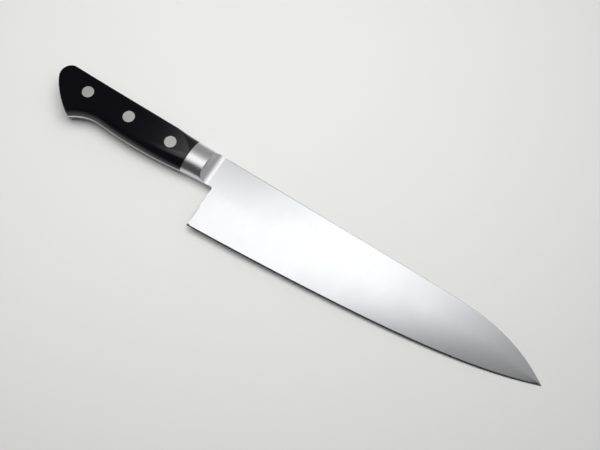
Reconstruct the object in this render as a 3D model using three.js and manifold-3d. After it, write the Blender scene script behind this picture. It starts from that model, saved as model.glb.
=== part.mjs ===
// Gyuto: a Japanese chef's knife with a full tang, two riveted scales and a bolster on each side of the neck.
// Millimetres. The knife lies on its left side: X runs from butt to tip, Y from edge to spine, Z up.
// All shapes are drawn with the heel at x = 0, the spine line at y = 0 and the middle of the plate at z = 0.
import * as THREE from "three";
import { mergeVertices } from "three/addons/utils/BufferGeometryUtils.js";
import Module from "manifold-3d";

const wasm = await Module();
wasm.setup();

// Blade
const PLATE_THICKNESS = 2.2; // tang, neck and spine at the heel
const BLADE_LENGTH = 240; // heel to tip
const HEEL_HEIGHT = 51.8; // spine line to edge at the heel
const TIP_DROP = 20.2; // spine line to tip
const DROP_LENGTH = 86; // stretch of spine that curves down to the tip
const DROP_POWER = 3; // how late that stretch turns down
const EDGE_STEADY_RISE = 0.4; // share of the edge's rise that is straight
const EDGE_EVEN_BOW = 0.3; // share that is an even bow, the rest is the curl near the tip
const EDGE_CURL_POWER = 6;
const TIP_SPINE_THICKNESS = 0.8; // what the plate has been tapered to at the tip
const GRIND_START = 0.42; // share of the blade's height that stays flat below the spine
const GRIND_POWER = 1.6; // how round the ground part is
const BEVEL_WIDTH = 0.9; // sharpened strip along the edge
const BEVEL_THICKNESS = 0.44; // blade at the top of that strip

// Neck and bolster
const NECK_HEIGHT = 21.9; // spine line to the underside at the choil
const CHOIL_RADIUS = 1.8; // rounded corner between neck and heel
const TOE_SETBACK = 4.9; // toe of the bolster behind the heel
const TOE_THICKNESS = 0.15; // bolster left standing at its toe
const BOLSTER_LENGTH = 19.7; // toe to the joint with the scale
const BOLSTER_CROWN = 6.1; // highest point of a bolster cheek above the plate, at the joint
const BOLSTER_TAPER = 0.9; // how much the line of its side falls from there to the toe
const COVE_RADIUS = 6.9; // concave front of the bolster

// Handle
const SCALE_LENGTH = 107.95;
const HANDLE_HEIGHT = 23.4; // at the joint with the bolster
const BELLY_DROP = 2.6; // how much deeper the belly is, the fullest part of the grip
const BELLY_PLACE = 0.614; // share of the way from the joint to the waist
const WAIST_RISE = 1; // how much the underside rises from the belly to the waist
const WAIST_FROM_BUTT = 40.55; // where the underside starts to flare to the nose
const NOSE_DROP = 6.7; // waist to the nose at the lower corner of the butt
const BUTT_RAKE = 22.05; // nose ahead of the rearmost point
const CORNER_DEPTH = 8.2; // rounded upper corner of the butt
const CORNER_LENGTH = 7.4;
const SCALE_CROWN = 6.3; // flat side of a scale above the plate, at the butt
const TOP_ROUNDING = 1.4; // reach of the rounded upper edge over the side of a scale
const TOP_SETTLING = 18; // distance behind the bolster at which the rounding has closed to that
const BELLY_ROUNDING = 5.8; // the same for the lower edge
const BELLY_SETTLING = 45;
const OVAL_SHARE = 0.48; // share of the height that each rounding has at the bolster

// Rivets
const RIVET_LINE_DEPTH = 11.8; // below the top line
const FRONT_RIVET_SETBACK = 15; // from the joint with the bolster
const REAR_RIVET_SETBACK = 25.85; // from the butt
const RIVET_COUNT = 3;
const HEAD_DIAMETER = 8.3;
const SEAT_THICKNESS = 4.6; // scale left under a rivet head
const SLEEVE_DIAMETER = 5.2; // outside of the hollow shank
const PIN_DIAMETER = 3.2; // solid shank
const PRESS_GAP = 0.05; // round a pin or sleeve
const HEAD_GAP = 0.05; // round a rivet head
const END_GAP = 0.5; // at the end of a pin or sleeve

// Fineness of the faces
const BUTT_STATIONS = 22;
const GRIP_STATIONS = 16;
const BOLSTER_STATIONS = 4;
const CHOIL_STATIONS = 5;
const HEEL_STATIONS = 6;
const EDGE_STATIONS = 40;
const GRIND_COLUMNS = 6;
const TOP_COLUMNS = 8; // over a rounded upper edge of the handle
const BELLY_COLUMNS = 10; // over a lower one
const ROUND_SEGMENTS = 36;
const COVE_SEGMENTS = 16;

// Places along the knife, and depths worked out from the sizes
const HALF_PLATE = PLATE_THICKNESS / 2;
const TOE_X = -TOE_SETBACK;
const JOINT_X = TOE_X - BOLSTER_LENGTH;
const BUTT_X = JOINT_X - SCALE_LENGTH;
const WAIST_X = BUTT_X + WAIST_FROM_BUTT;
const BELLY_X = JOINT_X + (WAIST_X - JOINT_X) * BELLY_PLACE;
const DROP_X = BLADE_LENGTH - DROP_LENGTH;
const BELLY_DEPTH = HANDLE_HEIGHT + BELLY_DROP;
const BUTT_DEPTH = BELLY_DEPTH - WAIST_RISE + NOSE_DROP;
const HANDLE_HALF_THICKNESS = HALF_PLATE + SCALE_CROWN;
const CUT_MARGIN = 5; // how far a cutting shape stands past what it cuts

// Curves of the blade as heights over the length
function spineHeight(x) {
  const along = Math.max(0, (x - DROP_X) / DROP_LENGTH);
  return -TIP_DROP * along ** DROP_POWER;
}

function edgeHeight(x) {
  const along = Math.max(0, x / BLADE_LENGTH);
  const curl = 1 - EDGE_STEADY_RISE - EDGE_EVEN_BOW;
  const rise = EDGE_STEADY_RISE * along + EDGE_EVEN_BOW * along ** 2 + curl * along ** EDGE_CURL_POWER;
  return -HEEL_HEIGHT + (HEEL_HEIGHT - TIP_DROP) * rise;
}

// Half the thickness of the plate: flat near the spine, ground round below it, sharpened at the edge
function bladeHalfThickness(x, y) {
  const taper = (PLATE_THICKNESS - TIP_SPINE_THICKNESS) / BLADE_LENGTH;
  const flat = (PLATE_THICKNESS - taper * Math.max(0, x)) / 2;
  const aboveEdge = Math.max(0, y - edgeHeight(x));
  const height = spineHeight(x) - edgeHeight(x);
  const shoulder = Math.min(BEVEL_WIDTH, height / 2);
  if (aboveEdge === 0) {
    return 0;
  }
  if (aboveEdge < shoulder) {
    return (BEVEL_THICKNESS / 2) * (aboveEdge / shoulder);
  }
  const groundHeight = height * (1 - GRIND_START) - shoulder;
  const ground = 1 - Math.min(1, (aboveEdge - shoulder) / groundHeight);
  return flat - (flat - BEVEL_THICKNESS / 2) * ground ** GRIND_POWER;
}

// Outline of the plate as two rows of matching points, from the nose of the butt to the tip
function cubic(start, pullStart, pullEnd, end) {
  return new THREE.CubicBezierCurve(
    new THREE.Vector2(...start),
    new THREE.Vector2(...pullStart),
    new THREE.Vector2(...pullEnd),
    new THREE.Vector2(...end),
  );
}

function line(start, end) {
  return new THREE.LineCurve(new THREE.Vector2(...start), new THREE.Vector2(...end));
}

function path(...curves) {
  const joined = new THREE.CurvePath();
  curves.forEach((curve) => joined.add(curve));
  return joined;
}

// Underside of bolster and neck: it hollows from the joint and runs level into the choil
function neckHeight(x) {
  const toGo = 1 - (x - JOINT_X) / (-CHOIL_RADIUS - JOINT_X);
  return -NECK_HEIGHT - (HANDLE_HEIGHT - NECK_HEIGHT) * toGo ** 2;
}

// Underside of the grip: it swells from the joint to the belly and rises a little to the waist
function gripHeight(x) {
  if (x > BELLY_X) {
    const toGo = (x - BELLY_X) / (JOINT_X - BELLY_X);
    return -BELLY_DEPTH + BELLY_DROP * toGo ** 2;
  }
  const past = (x - WAIST_X) / (BELLY_X - WAIST_X);
  return -BELLY_DEPTH + WAIST_RISE * (1 - past) ** 3 * (1 + 3 * past);
}

const nose = [BUTT_X + BUTT_RAKE, -BUTT_DEPTH];
const rearmost = [BUTT_X, -CORNER_DEPTH];
const waist = [WAIST_X, gripHeight(WAIST_X)];
const buttSlope = BUTT_DEPTH - CORNER_DEPTH;

const buttOutline = path(
  cubic(
    nose,
    [nose[0] - BUTT_RAKE * 0.18, nose[1] + buttSlope * 0.06],
    [BUTT_X, rearmost[1] - buttSlope * 0.31],
    rearmost,
  ),
  new THREE.EllipseCurve(
    BUTT_X + CORNER_LENGTH, rearmost[1], CORNER_LENGTH, CORNER_DEPTH, Math.PI, Math.PI / 2, true,
  ),
  line([BUTT_X + CORNER_LENGTH, 0], [WAIST_X, 0]),
);
const flare = new THREE.QuadraticBezierCurve(
  new THREE.Vector2(...nose),
  new THREE.Vector2((nose[0] + WAIST_X) / 2, waist[1]),
  new THREE.Vector2(...waist),
);
const choil = new THREE.EllipseCurve(
  -CHOIL_RADIUS, -NECK_HEIGHT - CHOIL_RADIUS, CHOIL_RADIUS, CHOIL_RADIUS, Math.PI / 2, 0, true,
);

// One stretch of the outline: a row of top points and a row of bottom points, without the last pair
function stretch(count, top, bottom) {
  const pairs = [];
  for (let i = 0; i < count; i += 1) {
    pairs.push({ top: top(i / count), bottom: bottom(i / count) });
  }
  return pairs;
}

function along(from, to, height) {
  return (t) => {
    const x = from + (to - from) * t;
    return new THREE.Vector2(x, height(x));
  };
}

const HEEL_FAN = HEEL_HEIGHT * 0.3; // where the line across the blade from the heel meets the spine
const CHOIL_FAN = HEEL_FAN * 0.3;
const level = () => 0;
const heelLine = (t) => {
  const start = -NECK_HEIGHT - CHOIL_RADIUS;
  return new THREE.Vector2(0, start + (edgeHeight(0) - start) * t);
};
const towardTip = (t) => t * (1.6 - 0.6 * t); // closer lines across the blade near the tip

const buttStretch = stretch(
  BUTT_STATIONS,
  (t) => buttOutline.getPointAt(t),
  (t) => flare.getPointAt(t),
);
const gripStretch = stretch(
  GRIP_STATIONS,
  along(WAIST_X, JOINT_X, level),
  along(WAIST_X, JOINT_X, gripHeight),
);
const bolsterStretch = stretch(
  BOLSTER_STATIONS,
  along(JOINT_X, TOE_X, level),
  along(JOINT_X, TOE_X, neckHeight),
);
const neckStretch = stretch(1, along(TOE_X, -CHOIL_RADIUS, level), along(TOE_X, -CHOIL_RADIUS, neckHeight));
const choilStretch = stretch(
  CHOIL_STATIONS,
  along(-CHOIL_RADIUS, CHOIL_FAN, level),
  (t) => choil.getPoint(t),
);
const heelStretch = stretch(HEEL_STATIONS, along(CHOIL_FAN, HEEL_FAN, level), heelLine);
const edgeStretch = stretch(
  EDGE_STATIONS,
  (t) => along(HEEL_FAN, BLADE_LENGTH, spineHeight)(towardTip(t)),
  (t) => along(0, BLADE_LENGTH, edgeHeight)(towardTip(t)),
);
const toePair = neckStretch[0];
const jointPair = bolsterStretch[0];
const tip = new THREE.Vector2(BLADE_LENGTH, -TIP_DROP);

// Solids from faces
function solidGeometry(points, faces) {
  const geometry = new THREE.BufferGeometry();
  geometry.setAttribute("position", new THREE.Float32BufferAttribute(points.flat(), 3));
  geometry.setIndex(faces.flat());
  return withoutEmptyFaces(mergeVertices(geometry, 1e-4));
}

function withoutEmptyFaces(geometry) {
  const corners = geometry.index.array;
  const kept = [];
  for (let i = 0; i < corners.length; i += 3) {
    const [a, b, c] = corners.slice(i, i + 3);
    if (a !== b && b !== c && c !== a) {
      kept.push(a, b, c);
    }
  }
  geometry.setIndex(kept);
  return geometry;
}

function toManifold(geometry) {
  const plain = geometry.clone();
  plain.deleteAttribute("normal");
  plain.deleteAttribute("uv");
  const merged = withoutEmptyFaces(mergeVertices(plain, 1e-4));
  return new wasm.Manifold(new wasm.Mesh({
    numProp: 3,
    vertProperties: new Float32Array(merged.attributes.position.array),
    triVerts: new Uint32Array(merged.index.array),
  }));
}

function toGeometry(manifold) {
  const mesh = manifold.getMesh();
  const geometry = new THREE.BufferGeometry();
  geometry.setAttribute("position", new THREE.BufferAttribute(mesh.vertProperties, 3));
  geometry.setIndex(new THREE.BufferAttribute(mesh.triVerts, 1));
  geometry.computeVertexNormals();
  return geometry;
}

// A body between an upper and a lower net of points, both with the same number of rows from butt to tip
function bodyBetween(upper, lower) {
  const points = [...upper.flat(), ...lower.flat()];
  const upperWidth = upper[0].length;
  const lowerWidth = lower[0].length;
  const up = (row, column) => row * upperWidth + column;
  const down = (row, column) => upper.length * upperWidth + row * lowerWidth + column;
  const faces = [];
  const quad = (a, b, c, d) => faces.push([a, b, c], [a, c, d]);
  for (let row = 0; row + 1 < upper.length; row += 1) {
    for (let i = 0; i + 1 < upperWidth; i += 1) {
      quad(up(row, i), up(row, i + 1), up(row + 1, i + 1), up(row + 1, i));
    }
    for (let i = 0; i + 1 < lowerWidth; i += 1) {
      quad(down(row, i), down(row + 1, i), down(row + 1, i + 1), down(row, i + 1));
    }
    quad(up(row, 0), up(row + 1, 0), down(row + 1, 0), down(row, 0));
    const [a, b] = [upperWidth - 1, lowerWidth - 1];
    quad(up(row, a), down(row, b), down(row + 1, b), up(row + 1, a));
  }
  const ring = (row) => [
    ...upper[row].map((point, i) => up(row, i)),
    ...lower[row].map((point, i) => down(row, lowerWidth - 1 - i)),
  ];
  const [start, end] = [ring(0), ring(upper.length - 1)];
  for (let i = 1; i + 1 < start.length; i += 1) {
    faces.push([start[0], start[i + 1], start[i]], [end[0], end[i], end[i + 1]]);
  }
  return solidGeometry(points, faces);
}

// The plate: across each line from top to bottom the points stand at the start of the grind, along it
// and at the shoulder of the sharpened strip
function plateShares(pair) {
  const height = pair.top.distanceTo(pair.bottom);
  const sharpened = pair.bottom.x >= 0 && pair.bottom.y <= edgeHeight(pair.bottom.x) + 1e-6;
  const shoulder = sharpened && height > 0 ? 1 - Math.min(BEVEL_WIDTH / height, 0.5) : 1;
  const shares = [0];
  for (let i = 0; i <= GRIND_COLUMNS; i += 1) {
    shares.push((GRIND_START + (1 - GRIND_START) * (i / GRIND_COLUMNS)) * shoulder);
  }
  shares.push(1);
  return shares;
}

function plateBody() {
  const pairs = [
    ...buttStretch, ...gripStretch, ...bolsterStretch, ...neckStretch,
    ...choilStretch, ...heelStretch, ...edgeStretch, { top: tip, bottom: tip },
  ];
  const net = (side) => pairs.map((pair) => plateShares(pair).map((share) => {
    const point = pair.top.clone().lerp(pair.bottom, share);
    return [point.x, point.y, side * bladeHalfThickness(point.x, point.y)];
  }));
  return bodyBetween(net(1), net(-1));
}

// The outside of scales and bolster: a flat side between two rounded edges. At the bolster the roundings
// take nearly the whole height, so that the section is an oval. Behind it they close up.
function crownHeight(behind) {
  const back = THREE.MathUtils.smoothstep(behind, 0, SCALE_LENGTH);
  const ahead = Math.max(0, -behind) / BOLSTER_LENGTH;
  return BOLSTER_CROWN + (SCALE_CROWN - BOLSTER_CROWN) * back - BOLSTER_TAPER * ahead;
}

function roundingReach(behind, settled, settling, oval) {
  const open = Math.max(0, 1 - Math.max(0, behind) / settling) ** 2;
  return settled + (oval - settled) * open;
}

function sideSection(pair) {
  const width = pair.top.distanceTo(pair.bottom);
  const behind = JOINT_X - (pair.top.x + pair.bottom.x) / 2;
  const oval = width * OVAL_SHARE;
  const above = roundingReach(behind, TOP_ROUNDING, TOP_SETTLING, oval);
  const below = roundingReach(behind, BELLY_ROUNDING, BELLY_SETTLING, oval);
  const pinch = Math.min(1, (2 * oval) / (above + below)); // under 1 where the nose is too narrow for both
  const crown = crownHeight(behind) * Math.sqrt(1 - (1 - pinch) ** 2);
  const shareOf = (reach) => (width > 0 ? (reach * pinch) / width : 0);
  const section = [];
  const addPoint = (share, rise) => {
    const point = pair.top.clone().lerp(pair.bottom, share);
    section.push([point.x, point.y, HALF_PLATE + crown * rise]);
  };
  for (let i = 0; i <= TOP_COLUMNS; i += 1) {
    const turn = (Math.PI / 2) * (i / TOP_COLUMNS);
    addPoint(shareOf(above) * (1 - Math.cos(turn)), Math.sin(turn));
  }
  for (let i = 0; i <= BELLY_COLUMNS; i += 1) {
    const turn = (Math.PI / 2) * (i / BELLY_COLUMNS);
    addPoint(1 - shareOf(below) * (1 - Math.sin(turn)), Math.cos(turn));
  }
  return section;
}

// The body over some pairs of outline points, standing on the level given
function sideBody(pairs, floor) {
  const upper = pairs.map(sideSection);
  const lower = pairs.map(({ top, bottom }) => [[top.x, top.y, floor], [bottom.x, bottom.y, floor]]);
  return toManifold(bodyBetween(upper, lower));
}

// A round body on an upright axis at the origin, from a profile of radius and height
function turned(profile) {
  const points = profile.map(([radius, height]) => new THREE.Vector2(radius, height));
  return new THREE.LatheGeometry(points, ROUND_SEGMENTS).rotateX(Math.PI / 2);
}

function rod(radius, bottom, top, place) {
  const profile = [[0, bottom], [radius, bottom], [radius, top], [0, top]];
  return toManifold(turned(profile)).translate([place.x, place.y, 0]);
}

// Rivet places
const firstRivet = JOINT_X - FRONT_RIVET_SETBACK;
const lastRivet = BUTT_X + REAR_RIVET_SETBACK;
const rivetPlaces = [];
for (let i = 0; i < RIVET_COUNT; i += 1) {
  const x = firstRivet + (lastRivet - firstRivet) * (i / (RIVET_COUNT - 1));
  rivetPlaces.push(new THREE.Vector2(x, -RIVET_LINE_DEPTH));
}
const SEAT_Z = HALF_PLATE + SEAT_THICKNESS;
const ABOVE_HANDLE = HANDLE_HALF_THICKNESS + CUT_MARGIN;
const sleeveHole = SLEEVE_DIAMETER / 2 + PRESS_GAP;

function blade() {
  const holes = rivetPlaces.map((place) => rod(sleeveHole, -ABOVE_HANDLE, ABOVE_HANDLE, place));
  return toGeometry(holes.reduce((plate, hole) => plate.subtract(hole), toManifold(plateBody())));
}

function bolsterCheek() {
  const front = new THREE.Shape();
  const toeZ = HALF_PLATE + TOE_THICKNESS;
  front.moveTo(TOE_X + CUT_MARGIN, toeZ);
  front.lineTo(TOE_X + CUT_MARGIN, ABOVE_HANDLE);
  front.lineTo(TOE_X - COVE_RADIUS, ABOVE_HANDLE);
  front.lineTo(TOE_X - COVE_RADIUS, toeZ + COVE_RADIUS);
  front.absarc(TOE_X, toeZ + COVE_RADIUS, COVE_RADIUS, Math.PI, Math.PI * 1.5, false);
  front.lineTo(TOE_X + CUT_MARGIN, toeZ);
  const depth = HANDLE_HEIGHT + 2 * CUT_MARGIN;
  const cove = new THREE.ExtrudeGeometry(front, { depth, bevelEnabled: false, curveSegments: COVE_SEGMENTS });
  cove.rotateX(Math.PI / 2).translate(0, CUT_MARGIN, 0);
  const blank = sideBody([...bolsterStretch, toePair], HALF_PLATE);
  return toGeometry(blank.subtract(toManifold(cove)));
}

const scalePairs = [...buttStretch, ...gripStretch, jointPair];

function scale() {
  const cuts = rivetPlaces.flatMap((place) => [
    rod(sleeveHole, 0, ABOVE_HANDLE, place),
    rod(HEAD_DIAMETER / 2 + HEAD_GAP, SEAT_Z, ABOVE_HANDLE, place),
  ]);
  const blank = sideBody(scalePairs, HALF_PLATE);
  return toGeometry(cuts.reduce((left, cut) => left.subtract(cut), blank));
}

// Both halves of a rivet are drawn with the head up and ground flush with the scale
const handleOutside = sideBody(scalePairs, -ABOVE_HANDLE);

function groundFlush(profile, place) {
  const raw = toManifold(turned(profile)).translate([place.x, place.y, 0]);
  return toGeometry(raw.intersect(handleOutside));
}

function rivetMale(place) {
  const pin = PIN_DIAMETER / 2;
  const head = HEAD_DIAMETER / 2;
  return groundFlush([
    [0, -SEAT_Z + END_GAP],
    [pin, -SEAT_Z + END_GAP],
    [pin, SEAT_Z],
    [head, SEAT_Z],
    [head, ABOVE_HANDLE],
    [0, ABOVE_HANDLE],
  ], place);
}

function rivetFemale(place) {
  const sleeve = SLEEVE_DIAMETER / 2;
  const head = HEAD_DIAMETER / 2;
  const bore = PIN_DIAMETER / 2 + PRESS_GAP;
  return groundFlush([
    [0, SEAT_Z],
    [bore, SEAT_Z],
    [bore, -SEAT_Z + END_GAP],
    [sleeve, -SEAT_Z + END_GAP],
    [sleeve, SEAT_Z],
    [head, SEAT_Z],
    [head, ABOVE_HANDLE],
    [0, ABOVE_HANDLE],
  ], place);
}

// Pieces of the knife
const looks = {
  blade_steel: { color: 0xd6d7d8, roughness: 0.22, metalness: 1 },
  bolster_steel: { color: 0xb9babb, roughness: 0.2, metalness: 1 },
  handle_black: { color: 0x141416, roughness: 0.4, metalness: 0 },
  rivet_steel: { color: 0xa5a39f, roughness: 0.35, metalness: 1 },
};

const knife = new THREE.Group();
knife.name = "gyuto_knife";

function addPiece(name, geometry, look, onLeft = false) {
  const material = new THREE.MeshStandardMaterial({ ...looks[look], name: look });
  const mesh = new THREE.Mesh(geometry, material);
  mesh.name = name;
  mesh.scale.z = onLeft ? -1 : 1;
  knife.add(mesh);
}

addPiece("blade", blade(), "blade_steel");
addPiece("bolster_right", bolsterCheek(), "bolster_steel");
addPiece("bolster_left", bolsterCheek(), "bolster_steel", true);
addPiece("scale_right", scale(), "handle_black");
addPiece("scale_left", scale(), "handle_black", true);
["rear", "middle", "front"].forEach((where, i) => {
  const place = rivetPlaces[RIVET_COUNT - 1 - i];
  addPiece(`${where}_rivet_male`, rivetMale(place), "rivet_steel");
  addPiece(`${where}_rivet_female`, rivetFemale(place), "rivet_steel", true);
});

// Origin under the middle of the knife as it lies
const box = new THREE.Box3().setFromObject(knife, true);
const middle = box.getCenter(new THREE.Vector3());
knife.position.set(-middle.x, -middle.y, -box.min.z);
knife.updateMatrixWorld(true);

export default knife;
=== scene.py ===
"""A gyuto knife lying on a pale table under soft studio light.

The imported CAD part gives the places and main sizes. Each piece is made again here with finer
curves, eased edges and its own surface finish, and replaces its CAD node.
Lengths are in metres, in the frame of the CAD part.
"""
import math

import bmesh
import bpy
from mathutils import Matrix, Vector
from mathutils.bvhtree import BVHTree


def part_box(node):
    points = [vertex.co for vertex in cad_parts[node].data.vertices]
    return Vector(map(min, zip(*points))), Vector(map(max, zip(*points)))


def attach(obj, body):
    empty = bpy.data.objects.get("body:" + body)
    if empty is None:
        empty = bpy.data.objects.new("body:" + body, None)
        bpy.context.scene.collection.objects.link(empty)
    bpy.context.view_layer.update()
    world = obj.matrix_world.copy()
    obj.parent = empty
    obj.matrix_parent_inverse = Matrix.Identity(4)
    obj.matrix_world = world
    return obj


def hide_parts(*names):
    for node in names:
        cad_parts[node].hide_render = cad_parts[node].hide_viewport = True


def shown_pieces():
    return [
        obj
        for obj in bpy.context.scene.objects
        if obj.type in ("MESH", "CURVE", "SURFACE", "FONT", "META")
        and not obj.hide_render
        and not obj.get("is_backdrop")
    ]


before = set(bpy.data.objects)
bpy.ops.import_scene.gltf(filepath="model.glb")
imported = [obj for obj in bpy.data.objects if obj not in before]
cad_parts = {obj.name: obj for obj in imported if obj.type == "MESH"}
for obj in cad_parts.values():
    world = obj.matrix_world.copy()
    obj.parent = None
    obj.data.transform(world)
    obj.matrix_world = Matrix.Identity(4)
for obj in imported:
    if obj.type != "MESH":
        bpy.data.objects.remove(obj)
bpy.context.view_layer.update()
scene = bpy.context.scene

# Sizes read from the frame
blade_low, blade_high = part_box("blade")
scale_low, scale_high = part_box("scale_right")
cheek_low, cheek_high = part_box("bolster_right")
HALF_PLATE = (blade_high.z - blade_low.z) / 2
SCALE_CROWN = scale_high.z - scale_low.z
BOLSTER_CROWN = cheek_high.z - cheek_low.z
HEEL_HEIGHT = blade_high.y - blade_low.y
BUTT_DEPTH = scale_high.y - scale_low.y
HANDLE_HEIGHT = cheek_high.y - cheek_low.y

# Outline of blade and handle
BLADE_LENGTH = 0.240
TIP_DROP = 0.0202
DROP_LENGTH = 0.086
DROP_POWER = 3
EDGE_STEADY_RISE = 0.4
EDGE_EVEN_BOW = 0.3
EDGE_CURL_POWER = 6
TIP_SPINE_THICKNESS = 0.0008
GRIND_START = 0.42
GRIND_POWER = 1.6
BEVEL_WIDTH = 0.0009
BEVEL_THICKNESS = 0.00044
NECK_HEIGHT = 0.0219
CHOIL_RADIUS = 0.0018
BOLSTER_TAPER = 0.0009
COVE_RADIUS = 0.0069
COVE_RUNOUT = 0.001
BELLY_DROP = 0.0026
BELLY_PLACE = 0.614
WAIST_RISE = 0.001
WAIST_FROM_BUTT = 0.04055
BUTT_RAKE = 0.02205
CORNER_DEPTH = 0.0082
CORNER_LENGTH = 0.0074
TOP_ROUNDING = 0.0014
TOP_SETTLING = 0.018
BELLY_ROUNDING = 0.0058
BELLY_SETTLING = 0.045

# Shares of rake and depth by which the curve of the butt is pulled at its nose and its corner
NOSE_PULL_BACK = 0.18
NOSE_PULL_UP = 0.06
CORNER_PULL_DOWN = 0.31

# Rows of points along the outline, closer toward the tip by the crowding
BUTT_CURVE_STEPS = 80
CORNER_STEPS = 40
TANG_BUTT_ROWS = 60
TANG_GRIP_ROWS = 30
NECK_ROWS = 24
CHOIL_ROWS = 12
HEEL_ROWS = 24
EDGE_ROWS = 160
EDGE_CROWDING = 0.6
HEEL_FAN = 0.3
SCALE_BUTT_ROWS = 72
SCALE_GRIP_ROWS = 60

# Rows of points down the face of the blade, closer where it is ground
FACE_SHARES = [0.1, 0.2, 0.3, 0.4, 0.46, 0.52, 0.58, 0.64, 0.7, 0.76, 0.82, 0.87, 0.92, 0.96, 0.985]

# Rows of points across the flat of the scales, closer at its borders
FLAT_SHARES = [0.03, 0.1, 0.3, 0.5, 0.7, 0.9, 0.97]

# Eased edges
SPINE_EASE = 0.00025
NECK_EASE = 0.00025
COVE_EASE = 0.00025
RIVET_EASE = 0.00022
EASE_STEPS = 4
EASE_LEAD = 0.001
EASE_SHARE_OF_THICKNESS = 0.4
EASE_SHARE_OF_HEIGHT = 0.05
EASE_SHARE_OF_ARC = 0.4

# Rivets: a pin in a sleeve, each with a head that stands a touch proud of the scale
SEAT_HEIGHT = 0.0046
SHANK_END_GAP = 0.0005
PIN_RADIUS = 0.0016
SLEEVE_RADIUS = 0.0026
SLEEVE_BORE_RADIUS = 0.00165
RIVET_PROUD = 0.00005
RIVET_SEGMENTS = 48
CLOSING_SHARE = 0.002
HEAD_SHARES = (CLOSING_SHARE, 0.2, 0.4, 0.6, 0.8, 0.9)

# Meshes
MERGE_DISTANCE = 1e-7
ROUNDING_ERROR = 1e-9
SHARP_ANGLE = math.radians(32)
JUST_UNDER_ONE = 0.9999
BEVEL_FACE_SHARE = 0.98
COVE_FACING = 0.15

# Table, tilted so that the knife comes down on its tip and its handle
TABLE_PITCH = math.radians(-1.48)
TABLE_ROLL = math.radians(1.0)
TABLE_RADIUS = 4.0
TABLE_SEGMENTS = 96

# Camera, with sensor and lens in millimetres
CAMERA_FROM_HEEL = Vector((0.1533, -0.1561, 0.5263))
AIM_FROM_HEEL = Vector((0.0616, -0.01245, 0.0))
SENSOR_WIDTH = 36.0
LENS = 51.64

# Studio: two soft panels, a lamp unseen in the steel, and a room lighter on the right and far side
PANEL_TURN = math.radians(32.5)
ENERGY_PER_BRIGHT_AREA = 4.0
LEFT_EDGE = ((1.0, -0.37), -0.225, -0.185)
PANEL_RISE = 0.55
PANEL_SIZE = (0.80, 0.70)
PANEL_LIGHT = 1.2
PANEL_CENTRE = (0.05, 0.11)
PANEL_EDGES = {
    "left": LEFT_EDGE,
    "right": ((1.0, -0.40), 0.444, 0.054),
    "near": ((0.0, 1.0), -0.08, 0.02),
    "far": ((0.0, 1.0), 0.30, 0.13),
}
BACK_RISE = 0.57
BACK_SIZE = (0.44, 0.52)
BACK_LIGHT = 1.2
BACK_CENTRE = (0.04, 0.25)
BACK_EDGES = {
    "left": LEFT_EDGE,
    "right": ((1.0, 0.0), 0.25, 0.15),
    "near": ((-1.5, 1.0), 0.32, 0.39),
    "far": ((0.0, 1.0), 0.50, 0.22),
}
FILL_RISE = 0.53
FILL_SIZE = (0.64, 0.50)
FILL_CENTRE = (-0.01, 0.10)
FILL_ENERGY = 2.5
DARK_ROOM = 0.08
LIGHT_ROOM_LOW = 0.36
LIGHT_ROOM_HIGH = 0.37
LIGHT_ROOM_RISE = (0.2, 0.85)
LIGHT_SIDE = ((0.62, 0.785, 0.0), 0.05, 0.28)
HORIZON = 0.42
HORIZON_RISE = (0.16, 0.45)
UPWARD = (0.0, 0.0, 1.0)

# Everything is drawn from the heel on the spine line, in the middle of the plate
HEEL = Vector((blade_high.x - BLADE_LENGTH, blade_high.y, (blade_low.z + blade_high.z) / 2))
TOE_X = cheek_high.x - HEEL.x
JOINT_X = scale_high.x - HEEL.x
BUTT_X = JOINT_X - (scale_high.x - scale_low.x)
WAIST_X = BUTT_X + WAIST_FROM_BUTT
BELLY_X = JOINT_X + (WAIST_X - JOINT_X) * BELLY_PLACE
BELLY_DEPTH = HANDLE_HEIGHT + BELLY_DROP
WAIST_DEPTH = BELLY_DEPTH - WAIST_RISE
DROP_X = BLADE_LENGTH - DROP_LENGTH


# Curves
def smoothstep(value, start, end):
    """0 before start, 1 after end, and an even turn between them."""
    share = min(1.0, max(0.0, (value - start) / (end - start)))
    return share * share * (3 - 2 * share)


def bezier(points, share):
    """Point at that share of a Bezier curve."""
    points = [Vector(p) for p in points]
    while len(points) > 1:
        points = [a.lerp(b, share) for a, b in zip(points, points[1:])]
    return points[0]


def evenly(points, count):
    """count + 1 points spaced evenly along a line of points."""
    lengths = [0.0]
    for a, b in zip(points, points[1:]):
        lengths.append(lengths[-1] + (b - a).length)
    result = []
    place = 0
    for i in range(count + 1):
        want = lengths[-1] * i / count
        while place < len(points) - 2 and lengths[place + 1] < want:
            place += 1
        step = lengths[place + 1] - lengths[place]
        result.append(points[place].lerp(points[place + 1], (want - lengths[place]) / step))
    return result


def spine_height(x):
    along = max(0.0, (x - DROP_X) / DROP_LENGTH)
    return -TIP_DROP * along ** DROP_POWER


def edge_height(x):
    along = max(0.0, x / BLADE_LENGTH)
    curl = 1 - EDGE_STEADY_RISE - EDGE_EVEN_BOW
    rise = EDGE_STEADY_RISE * along + EDGE_EVEN_BOW * along ** 2 + curl * along ** EDGE_CURL_POWER
    return -HEEL_HEIGHT + (HEEL_HEIGHT - TIP_DROP) * rise


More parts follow.
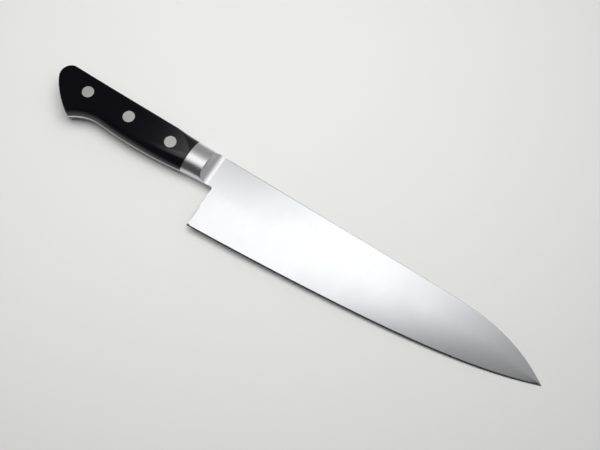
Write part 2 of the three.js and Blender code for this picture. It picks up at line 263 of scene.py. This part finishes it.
def blade_half_thickness(x, y):
    """Flat near the spine, ground round below it and sharpened at the edge."""
    taper = (2 * HALF_PLATE - TIP_SPINE_THICKNESS) / BLADE_LENGTH
    flat = HALF_PLATE - taper * max(0.0, x) / 2
    above_edge = max(0.0, y - edge_height(x))
    height = spine_height(x) - edge_height(x)
    shoulder = min(BEVEL_WIDTH, height / 2)
    if above_edge < ROUNDING_ERROR:
        return 0.0
    if above_edge < shoulder:
        return BEVEL_THICKNESS / 2 * above_edge / shoulder
    ground_height = height * (1 - GRIND_START) - shoulder
    ground = 1 - min(1.0, (above_edge - shoulder) / ground_height)
    return flat - (flat - BEVEL_THICKNESS / 2) * ground ** GRIND_POWER


def neck_height(x):
    to_go = 1 - (x - JOINT_X) / (-CHOIL_RADIUS - JOINT_X)
    return -NECK_HEIGHT - (HANDLE_HEIGHT - NECK_HEIGHT) * to_go ** 2


def grip_height(x):
    """Underside of the grip: a parabola from the joint to the belly, then a smooth rise to the waist."""
    if x > BELLY_X:
        to_go = (x - BELLY_X) / (JOINT_X - BELLY_X)
        return -BELLY_DEPTH + (BELLY_DEPTH - HANDLE_HEIGHT) * to_go ** 2
    past = (x - WAIST_X) / (BELLY_X - WAIST_X)
    return -BELLY_DEPTH + WAIST_RISE * (1 - past) ** 3 * (1 + 3 * past)


# The outline as pairs of points, one on the top line and one on the underside
def span(start, end, height, shares):
    """Points of a height function at these shares of the way from start to end."""
    places = [start + (end - start) * share for share in shares]
    return [Vector((x, height(x))) for x in places]


def even_shares(count):
    return [i / count for i in range(count + 1)]


def butt_pairs(count):
    nose = Vector((BUTT_X + BUTT_RAKE, -BUTT_DEPTH))
    waist = Vector((WAIST_X, -WAIST_DEPTH))
    slope = BUTT_DEPTH - CORNER_DEPTH
    end_curve = [
        nose,
        nose + Vector((-BUTT_RAKE * NOSE_PULL_BACK, slope * NOSE_PULL_UP)),
        (BUTT_X, -CORNER_DEPTH - slope * CORNER_PULL_DOWN),
        (BUTT_X, -CORNER_DEPTH),
    ]
    top = [bezier(end_curve, share) for share in even_shares(BUTT_CURVE_STEPS)]
    for share in even_shares(CORNER_STEPS)[1:]:
        turn = math.pi / 2 * share
        top.append(Vector((
            BUTT_X + CORNER_LENGTH * (1 - math.cos(turn)),
            -CORNER_DEPTH * (1 - math.sin(turn)),
        )))
    top.append(Vector((WAIST_X, 0)))
    flare = [nose, ((nose.x + WAIST_X) / 2, -WAIST_DEPTH), waist]
    bottom = [bezier(flare, share) for share in even_shares(BUTT_CURVE_STEPS)]
    return list(zip(evenly(top, count), evenly(bottom, count)))


def grip_pairs(count):
    shares = even_shares(count)
    return list(zip(
        span(WAIST_X, JOINT_X, lambda x: 0, shares),
        span(WAIST_X, JOINT_X, grip_height, shares),
    ))


def neck_pairs(count):
    shares = even_shares(count)
    return list(zip(
        span(JOINT_X, -CHOIL_RADIUS, lambda x: 0, shares),
        span(JOINT_X, -CHOIL_RADIUS, neck_height, shares),
    ))


def heel_pairs(choil_count, heel_count, fan):
    """Pairs round the choil and down the heel, fanned out over the first part of the spine."""
    bottom = []
    for share in even_shares(choil_count):
        turn = math.pi / 2 * share
        bottom.append(Vector((
            -CHOIL_RADIUS * (1 - math.sin(turn)),
            -NECK_HEIGHT - CHOIL_RADIUS * (1 - math.cos(turn)),
        )))
    start = bottom[-1].y
    bottom += [Vector((0, start + (-HEEL_HEIGHT - start) * s)) for s in even_shares(heel_count)[1:]]
    top = span(-CHOIL_RADIUS, fan, lambda x: 0, even_shares(choil_count + heel_count))
    return list(zip(top, bottom))


def edge_pairs(count, fan):
    shares = [s * (1 + EDGE_CROWDING - EDGE_CROWDING * s) for s in even_shares(count)]
    top = span(fan, BLADE_LENGTH, spine_height, shares)
    bottom = span(0, BLADE_LENGTH, edge_height, shares)
    return list(zip(top, bottom))


# Pieces from rings of points
def piece_from_rings(name, rings, on_left=False):
    """A closed mesh through rings of points around the piece, mirrored for the left side."""
    mesh = bpy.data.meshes.new(name)
    made = bmesh.new()
    side = -1 if on_left else 1
    rows = [[made.verts.new((p.x, p.y, side * p.z)) for p in ring] for ring in rings]
    width = len(rows[0])
    for row, following in zip(rows, rows[1:]):
        for i in range(width):
            k = (i + 1) % width
            made.faces.new((row[i], row[k], following[k], following[i]))
    made.faces.new(rows[0])
    made.faces.new(rows[-1])
    bmesh.ops.remove_doubles(made, verts=made.verts, dist=MERGE_DISTANCE)
    bmesh.ops.dissolve_degenerate(made, edges=made.edges, dist=MERGE_DISTANCE)
    bmesh.ops.recalc_face_normals(made, faces=made.faces)
    for face in made.faces:
        face.smooth = True
    made.to_mesh(mesh)
    made.free()
    mesh.set_sharp_from_angle(angle=SHARP_ANGLE)
    piece = bpy.data.objects.new(name, mesh)
    piece.location = HEEL
    scene.collection.objects.link(piece)
    return piece


def eased_corner(corner, inward, half, ease):
    """Rounds the arris of a flat edge: from the edge's middle out and onto the face, with a
    close row on each side of the round so that the flats beside it shade flat."""
    points = [Vector((corner.x, corner.y, half - 2 * ease))]
    for share in even_shares(EASE_STEPS):
        turn = math.pi / 2 * share
        place = corner + inward * ease * (1 - math.cos(turn))
        points.append(Vector((place.x, place.y, half - ease * (1 - math.sin(turn)))))
    place = corner + inward * ease * 2
    points.append(Vector((place.x, place.y, half)))
    return points


def blade_ring(pair, spine_ease, under_ease):
    """Half section of the plate from the top line to the underside, and its mirror image."""
    top, bottom = pair
    height = (bottom - top).length
    down = (bottom - top) / height if height > MERGE_DISTANCE else Vector((0, -1))
    sharpened = bottom.x > -ROUNDING_ERROR and bottom.y < edge_height(bottom.x) + MERGE_DISTANCE
    bevel = min(BEVEL_WIDTH, height / 2) if sharpened else 0.0
    half_top = blade_half_thickness(top.x, top.y)
    ease = min(spine_ease, half_top * EASE_SHARE_OF_THICKNESS, height * EASE_SHARE_OF_HEIGHT)
    section = [Vector((top.x, top.y, 0))]
    eased = eased_corner(top, down, half_top, ease)
    section += eased
    for share in FACE_SHARES:
        point = top + down * share * (height - bevel)
        section.append(Vector((point.x, point.y, blade_half_thickness(point.x, point.y))))
    if sharpened:
        shoulder = bottom - down * bevel
        half = min(BEVEL_THICKNESS / 2, half_top) if height > MERGE_DISTANCE else 0.0
        section += [Vector((shoulder.x, shoulder.y, half))] * len(eased)
    else:
        half = blade_half_thickness(bottom.x, bottom.y)
        ease = min(under_ease, half * EASE_SHARE_OF_THICKNESS)
        section += reversed(eased_corner(bottom, -down, half, ease))
    section.append(Vector((bottom.x, bottom.y, 0)))
    mirrored = [Vector((p.x, p.y, -p.z)) for p in section[-2:0:-1]]
    return section + mirrored


def blade_piece():
    """Tang, neck and blade in one, with edges that are sharp in the handle and eased before it."""
    fan = HEEL_HEIGHT * HEEL_FAN
    tang = butt_pairs(TANG_BUTT_ROWS)[:-1] + grip_pairs(TANG_GRIP_ROWS)[:-1]
    covered = tang + neck_pairs(NECK_ROWS)[:-1]
    bare = heel_pairs(CHOIL_ROWS, HEEL_ROWS, fan)[:-1] + edge_pairs(EDGE_ROWS, fan)
    rings = []
    for pair in covered:
        ease = smoothstep(pair[0].x, TOE_X - EASE_LEAD, -CHOIL_RADIUS)
        rings.append(blade_ring(pair, SPINE_EASE * ease, NECK_EASE * ease))
    for pair in bare:
        rings.append(blade_ring(pair, SPINE_EASE, NECK_EASE))
    return piece_from_rings("gyuto_blade", rings)


def side_point(pair, crown, top_reach, belly_reach, turn):
    """Point on the rounded side of the handle, from the top line at no turn over the crown at a
    quarter turn to the underside at a half turn."""
    top, bottom = pair
    width = (bottom - top).length
    down = (bottom - top) / width if width > MERGE_DISTANCE else Vector((0, 0))
    if turn < math.pi / 2:
        place = top + down * top_reach * (1 - math.cos(turn))
    else:
        place = bottom - down * belly_reach * (1 + math.cos(turn))
    return Vector((place.x, place.y, HALF_PLATE + crown * math.sin(turn)))


def reach(behind, settled, length, oval):
    """How far a rounded edge reaches over the side: half an oval at the joint, less further back."""
    return settled + (oval - settled) * max(0.0, 1 - behind / length) ** 2


def scale_ring(pair, inset, arc_count=28):
    """Section of a scale: a flat side between a close rounding on top and a fuller one below."""
    top, bottom = pair
    width = (bottom - top).length
    behind = JOINT_X - (top.x + bottom.x) / 2
    top_reach = reach(behind, TOP_ROUNDING, TOP_SETTLING, width / 2)
    belly_reach = reach(behind, BELLY_ROUNDING, BELLY_SETTLING, width / 2)
    pinch = min(1.0, width / (top_reach + belly_reach))
    crown = BOLSTER_CROWN + (SCALE_CROWN - BOLSTER_CROWN) * smoothstep(behind, 0, JOINT_X - BUTT_X)
    crown = (crown - inset) * math.sqrt(1 - (1 - pinch) ** 2)

    def at(turn):
        return side_point(pair, crown, top_reach * pinch, belly_reach * pinch, turn)

    quarter = math.pi / 2
    above = [at(quarter * share * JUST_UNDER_ONE) for share in even_shares(arc_count)]
    below = [at(quarter * (1 + share)) for share in even_shares(arc_count)]
    flat = [above[-1].lerp(below[0], share) for share in FLAT_SHARES]
    return above + flat + below


def scale_rings(inset):
    pairs = butt_pairs(SCALE_BUTT_ROWS)[:-1] + grip_pairs(SCALE_GRIP_ROWS)
    return [scale_ring(pair, inset) for pair in pairs]


def bolster_side(x, share_of_turn):
    """Point on the oval side of the bolster, as if it ran on to the toe."""
    height = neck_height(x)
    crown = BOLSTER_CROWN - BOLSTER_TAPER * (x - JOINT_X) / (TOE_X - JOINT_X)
    pair = (Vector((x, 0)), Vector((x, height)))
    return side_point(pair, crown, -height / 2, -height / 2, math.pi * share_of_turn)


def cove_line(share_of_turn, side_count=14, rim_count=4, cove_count=24, rim_tries=20):
    """From the joint along the side of the bolster, over its rim and down the cove to the toe,
    where it runs out thinly onto the blade."""
    toe_x = TOE_X + COVE_RUNOUT
    reach_x = COVE_RADIUS + COVE_RUNOUT
    centre_z = HALF_PLATE + COVE_RADIUS
    rim_x = toe_x
    for _ in range(rim_tries):
        rim_z = bolster_side(rim_x, share_of_turn).z
        rim_turn = math.acos((centre_z - rim_z) / COVE_RADIUS)
        rim_x = toe_x - reach_x * math.sin(rim_turn)
    ease = min(COVE_EASE, COVE_RADIUS * rim_turn * EASE_SHARE_OF_ARC)
    side = [JOINT_X + (rim_x - ease - JOINT_X) * share for share in even_shares(side_count)]
    line = [Vector((x, bolster_side(x, share_of_turn).z)) for x in side]
    cove = []
    for share in even_shares(cove_count):
        turn = (rim_turn - ease / COVE_RADIUS) * (1 - share)
        cove.append(Vector((
            toe_x - reach_x * math.sin(turn),
            centre_z - COVE_RADIUS * math.cos(turn),
        )))
    rim = [line[-1], Vector((rim_x, rim_z)), cove[0]]
    line += [bezier(rim, share) for share in even_shares(rim_count)[1:-1]]
    return line + cove


def cheek_rings(section_count=72):
    """Rings of the bolster cheek from the joint to the toe."""
    lines = []
    for share in even_shares(section_count):
        line = cove_line(share)
        lines.append([Vector((p.x, bolster_side(p.x, share).y, p.y)) for p in line])
    return [list(ring) for ring in zip(*lines)]


def rivet_piece(name, node, surface, on_left, hollow):
    """A rivet half: a head ground to the side of the scale, and a pin or a hollow sleeve as shank."""
    low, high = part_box(node)
    centre = (low + high) / 2 - HEEL
    radius = (high.x - low.x) / 2
    seat_z = HALF_PLATE + SEAT_HEIGHT
    end_z = -seat_z + SHANK_END_GAP
    shank = SLEEVE_RADIUS if hollow else PIN_RADIUS

    def ring(distance, height):
        points = []
        for i in range(RIVET_SEGMENTS):
            turn = 2 * math.pi * i / RIVET_SEGMENTS
            x = centre.x + distance * math.cos(turn)
            y = centre.y + distance * math.sin(turn)
            points.append(Vector((x, y, height(x, y))))
        return points

    def level(z):
        return lambda x, y: z

    def lowered(drop):
        return lambda x, y: surface(x, y) - drop

    rings = [ring(radius * s, lowered(0)) for s in HEAD_SHARES]
    for share in even_shares(EASE_STEPS):
        turn = math.pi / 2 * share
        distance = radius - RIVET_EASE * (1 - math.sin(turn))
        rings.append(ring(distance, lowered(RIVET_EASE * (1 - math.cos(turn)))))
    rings.append(ring(radius, level(seat_z)))
    rings.append(ring(shank, level(seat_z)))
    rings.append(ring(shank, level(end_z)))
    if hollow:
        rings.append(ring(SLEEVE_BORE_RADIUS, level(end_z)))
        rings.append(ring(SLEEVE_BORE_RADIUS, level(seat_z)))
    rings.append(ring(shank * CLOSING_SHARE, level(seat_z if hollow else end_z)))
    return piece_from_rings(name, rings, on_left)


# Materials
def node_adder(tree):
    """A function that adds a node to the tree and feeds its sockets with values or other sockets."""
    def add(kind, inputs=None, **settings):
        node = tree.nodes.new(kind)
        for key, value in settings.items():
            setattr(node, key, value)
        for socket, value in (inputs or {}).items():
            if isinstance(value, bpy.types.NodeSocket):
                tree.links.new(value, node.inputs[socket])
            else:
                node.inputs[socket].default_value = value
        return node

    return add


def new_material(name):
    """A material with its node tree, its shader and the function that adds nodes to it."""
    material = bpy.data.materials.new(name)
    material.use_nodes = True
    tree = material.node_tree
    return material, tree, tree.nodes["Principled BSDF"], node_adder(tree)


def brushed_steel(name, colour, roughness, stretch, fineness, depth, metal=1.0):
    """Steel with fine grinding lines: stretch scales their noise along X, Y and Z, and metal below 1
    leaves it partly matt."""
    material, tree, shader, add = new_material(name)
    shader.inputs["Metallic"].default_value = metal
    place = add("ShaderNodeTexCoord").outputs["Object"]
    stretched = add("ShaderNodeMapping", {"Vector": place, "Scale": stretch}).outputs["Vector"]
    lines = add("ShaderNodeTexNoise", {
        "Vector": stretched, "Scale": fineness, "Detail": 4.0,
    }).outputs["Fac"]
    patches = add("ShaderNodeTexNoise", {"Vector": place, "Scale": 60.0, "Detail": 3.0}).outputs["Fac"]
    mixed = add("ShaderNodeMath", {0: lines, 1: patches}, operation="ADD").outputs[0]
    rough = add("ShaderNodeMapRange", {
        "Value": mixed, "From Min": 0.6, "From Max": 1.4,
        "To Min": roughness * 0.85, "To Max": roughness * 1.15,
    }).outputs["Result"]
    tree.links.new(rough, shader.inputs["Roughness"])
    tint = add("ShaderNodeMapRange", {
        "Value": lines, "From Min": 0.25, "From Max": 0.75, "To Min": 0.95, "To Max": 1.05,
    }).outputs["Result"]
    shade = add("ShaderNodeVectorMath", {0: colour, 1: tint}, operation="MULTIPLY").outputs[0]
    tree.links.new(shade, shader.inputs["Base Color"])
    bump = add("ShaderNodeBump", {"Height": lines, "Strength": 1.0, "Distance": depth}).outputs["Normal"]
    tree.links.new(bump, shader.inputs["Normal"])
    return material


def black_laminate():
    """Black resin-bonded laminate: close lengthwise grain under a satin polish."""
    material, tree, shader, add = new_material("black_laminate")
    shader.inputs["Specular IOR Level"].default_value = 0.5
    place = add("ShaderNodeTexCoord").outputs["Object"]
    along = add("ShaderNodeMapping", {"Vector": place, "Scale": (0.06, 1.0, 1.0)}).outputs["Vector"]
    grain = add("ShaderNodeTexNoise", {"Vector": along, "Scale": 1400.0, "Detail": 6.0}).outputs["Fac"]
    cloud = add("ShaderNodeTexNoise", {"Vector": along, "Scale": 120.0, "Detail": 3.0}).outputs["Fac"]
    colour = add("ShaderNodeMix", {
        "Factor": grain, "A": (0.0006, 0.0007, 0.0016, 1), "B": (0.0016, 0.0017, 0.0032, 1),
    }, data_type="RGBA")
    tree.links.new(colour.outputs["Result"], shader.inputs["Base Color"])
    rough = add("ShaderNodeMapRange", {
        "Value": cloud, "From Min": 0.3, "From Max": 0.7, "To Min": 0.13, "To Max": 0.17,
    }).outputs["Result"]
    tree.links.new(rough, shader.inputs["Roughness"])
    bump = add("ShaderNodeBump", {"Height": grain, "Strength": 1.0, "Distance": 0.000004}).outputs["Normal"]
    tree.links.new(bump, shader.inputs["Normal"])
    return material


def table_top():
    """Pale matt table top with faint clouds."""
    material, tree, shader, add = new_material("table_top")
    shader.inputs["Roughness"].default_value = 0.6
    shader.inputs["Specular IOR Level"].default_value = 0.2
    place = add("ShaderNodeTexCoord").outputs["Object"]
    cloud = add("ShaderNodeTexNoise", {"Vector": place, "Scale": 9.0, "Detail": 5.0}).outputs["Fac"]
    colour = add("ShaderNodeMix", {
        "Factor": cloud, "A": (0.825, 0.825, 0.815, 1), "B": (0.855, 0.855, 0.848, 1),
    }, data_type="RGBA")
    tree.links.new(colour.outputs["Result"], shader.inputs["Base Color"])
    return material


blade_steel = brushed_steel(
    "blade_steel", colour=(0.66, 0.665, 0.675), roughness=0.20,
    stretch=(1.0, 0.02, 0.02), fineness=5000.0, depth=2e-7,
)
# Steel of the edge bevel: a rougher ground finish of its own, and a colour darkened far below the blade's
# as painted shade for the dark line along the edge
edge_steel_painted_shade = brushed_steel(
    "edge_steel_painted_shade", colour=(0.36, 0.36, 0.37), roughness=0.18,
    stretch=(1.0, 0.05, 0.05), fineness=4000.0, depth=2e-7,
)
bolster_steel = brushed_steel(
    "bolster_steel", colour=(0.72, 0.72, 0.73), roughness=0.26,
    stretch=(0.05, 1.0, 1.0), fineness=3000.0, depth=2e-7,
)
cove_steel = brushed_steel(
    "cove_steel", colour=(0.78, 0.78, 0.79), roughness=0.36,
    stretch=(1.0, 0.05, 1.0), fineness=3000.0, depth=2e-7,
)
rivet_steel = brushed_steel(
    "rivet_steel", colour=(0.69, 0.68, 0.665), roughness=0.52,
    stretch=(0.05, 1.0, 1.0), fineness=2600.0, depth=1e-6, metal=0.8,
)
handle_black = black_laminate()


# The knife
def dress(piece, node, slot, *materials):
    """Gives a piece its materials and puts it in the place of its CAD node."""
    for material in materials:
        piece.data.materials.append(material)
    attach(piece, "root")
    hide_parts(node)


blade = blade_piece()
dress(blade, "blade", "blade_steel", blade_steel, edge_steel_painted_shade)

# The bevel has a ground finish of its own. Its colour is darkened well below the blade's as painted shade,
# to draw the dark line along the edge. Its shoulder is a sharp line.
materials_at = {}
for face in blade.data.polygons:
    middle = face.center
    height = spine_height(middle.x) - edge_height(middle.x)
    bevel = min(BEVEL_WIDTH, height / 2) * BEVEL_FACE_SHARE
    if middle.x > 0 and middle.y - edge_height(middle.x) < bevel:
        face.material_index = 1
    for key in face.edge_keys:
        materials_at.setdefault(key, set()).add(face.material_index)
for edge in blade.data.edges:
    edge.use_edge_sharp |= len(materials_at[edge.key]) == 2

# The outside of the CAD scale, to which the rivet heads are ground
flush = scale_rings(0.0)
flush_faces = []
width = len(flush[0])
for row in range(len(flush) - 1):
    for i in range(width - 1):
        corner = row * width + i
        flush_faces.append((corner, corner + 1, corner + width + 1, corner + width))
flush_tree = BVHTree.FromPolygons([p for ring in flush for p in ring], flush_faces)


def flush_height(x, y):
    """Height of the CAD scale's outside over the plate's middle."""
    return flush_tree.ray_cast(Vector((x, y, 1.0)), Vector((0, 0, -1)))[0].z


cheeks = cheek_rings()
scales = scale_rings(RIVET_PROUD)
for side in ("right", "left"):
    on_left = side == "left"
    cheek = piece_from_rings(f"bolster_cheek_{side}", cheeks, on_left)
    dress(cheek, f"bolster_{side}", "bolster_steel", bolster_steel, cove_steel)
    for face in cheek.data.polygons:
        face.material_index = int(face.normal.x > COVE_FACING)
    scale = piece_from_rings(f"handle_scale_{side}", scales, on_left)
    dress(scale, f"scale_{side}", "handle_black", handle_black)
    half = "female" if on_left else "male"
    for where in ("front", "middle", "rear"):
        node = f"{where}_rivet_{half}"
        rivet = rivet_piece(f"{node}_half", node, flush_height, on_left, on_left)
        dress(rivet, node, "rivet_steel", rivet_steel)

# The table, which touches the knife at its lowest point
up = Vector((math.tan(TABLE_PITCH), math.tan(TABLE_ROLL), 1)).normalized()
drop = min(up.dot(piece.matrix_world @ v.co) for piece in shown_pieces() for v in piece.data.vertices)
table_mesh = bpy.data.meshes.new("table")
made = bmesh.new()
bmesh.ops.create_circle(made, cap_ends=True, segments=TABLE_SEGMENTS, radius=TABLE_RADIUS)
made.to_mesh(table_mesh)
made.free()
table = bpy.data.objects.new("table", table_mesh)
table.location = up * drop
table.rotation_mode = "QUATERNION"
table.rotation_quaternion = up.to_track_quat("Z", "Y")
table.data.materials.append(table_top())
scene.collection.objects.link(table)
table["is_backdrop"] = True

# The camera
camera_data = bpy.data.cameras.new("camera")
camera_data.sensor_width = SENSOR_WIDTH
camera_data.lens = LENS
camera = bpy.data.objects.new("camera", camera_data)
camera.location = HEEL + CAMERA_FROM_HEEL
camera.rotation_mode = "QUATERNION"
camera.rotation_quaternion = (AIM_FROM_HEEL - CAMERA_FROM_HEEL).to_track_quat("-Z", "Y")
scene.collection.objects.link(camera)
scene.camera = camera

# The lamps, turned to the picture and each at its own height, since lamps in one plane hide each other
panel_across = Vector((math.cos(PANEL_TURN), math.sin(PANEL_TURN), 0.0))
panel_away = Vector((-math.sin(PANEL_TURN), math.cos(PANEL_TURN), 0.0))


def ramp(add, place, axis, start, end, low=0.0, high=1.0):
    """A smooth change between two levels over the part of a place or direction along an axis."""
    part = add("ShaderNodeVectorMath", {0: place, 1: axis}, operation="DOT_PRODUCT")
    return add("ShaderNodeMapRange", {
        "Value": part.outputs["Value"], "From Min": start, "From Max": end, "To Min": low, "To Max": high,
    }, interpolation_type="SMOOTHSTEP").outputs["Result"]


def blend(add, share, low, high):
    """Low where the share is 0, high where it is 1."""
    return add("ShaderNodeMix", {"Factor": share, "A": low, "B": high}, data_type="FLOAT").outputs["Result"]


def overhead_lamp(name, rise, size, centre, energy):
    """A lamp that shines straight down, with its centre across and away from the heel."""
    data = bpy.data.lights.new(name, "AREA")
    data.shape = "RECTANGLE"
    data.size = size[0]
    data.size_y = size[1]
    data.energy = energy
    lamp = bpy.data.objects.new(name, data)
    lamp.location = HEEL + panel_across * centre[0] + panel_away * centre[1] + Vector(UPWARD) * rise
    lamp.rotation_euler = (0.0, 0.0, PANEL_TURN)
    lamp.visible_camera = False
    scene.collection.objects.link(lamp)
    return lamp


def soft_panel(name, rise, size, centre, light, edges):
    """An overhead lamp of this brightness that shows in the steel and fades out toward its edges."""
    energy = ENERGY_PER_BRIGHT_AREA * light * size[0] * size[1]
    data = overhead_lamp(name, rise, size, centre, energy).data
    data.use_nodes = True
    add = node_adder(data.node_tree)
    position = add("ShaderNodeNewGeometry").outputs["Position"]
    place = add("ShaderNodeVectorMath", {0: position, 1: HEEL}, operation="SUBTRACT").outputs[0]
    level = 1.0
    for (across, away), dark, bright in edges.values():
        edge = ramp(add, place, panel_across * across + panel_away * away, dark, bright)
        level = add("ShaderNodeMath", {0: level, 1: edge}, operation="MULTIPLY").outputs[0]
    data.node_tree.links.new(level, data.node_tree.nodes["Emission"].inputs["Strength"])


soft_panel("panel", PANEL_RISE, PANEL_SIZE, PANEL_CENTRE, PANEL_LIGHT, PANEL_EDGES)
soft_panel("back_panel", BACK_RISE, BACK_SIZE, BACK_CENTRE, BACK_LIGHT, BACK_EDGES)
fill = overhead_lamp("fill", FILL_RISE, FILL_SIZE, FILL_CENTRE, FILL_ENERGY)
fill.visible_glossy = False

# The room
world = bpy.data.worlds.new("studio")
world.use_nodes = True
scene.world = world
background = world.node_tree.nodes["Background"]
background.inputs["Color"].default_value = (1, 1, 1, 1)
add = node_adder(world.node_tree)
direction = add("ShaderNodeTexCoord").outputs["Generated"]
light_room = ramp(add, direction, UPWARD, *LIGHT_ROOM_RISE, LIGHT_ROOM_LOW, LIGHT_ROOM_HIGH)
room = blend(add, ramp(add, direction, *LIGHT_SIDE), DARK_ROOM, light_room)
room = blend(add, ramp(add, direction, UPWARD, *HORIZON_RISE), HORIZON, room)
world.node_tree.links.new(room, background.inputs["Strength"])

scene.view_settings.view_transform = "Standard"
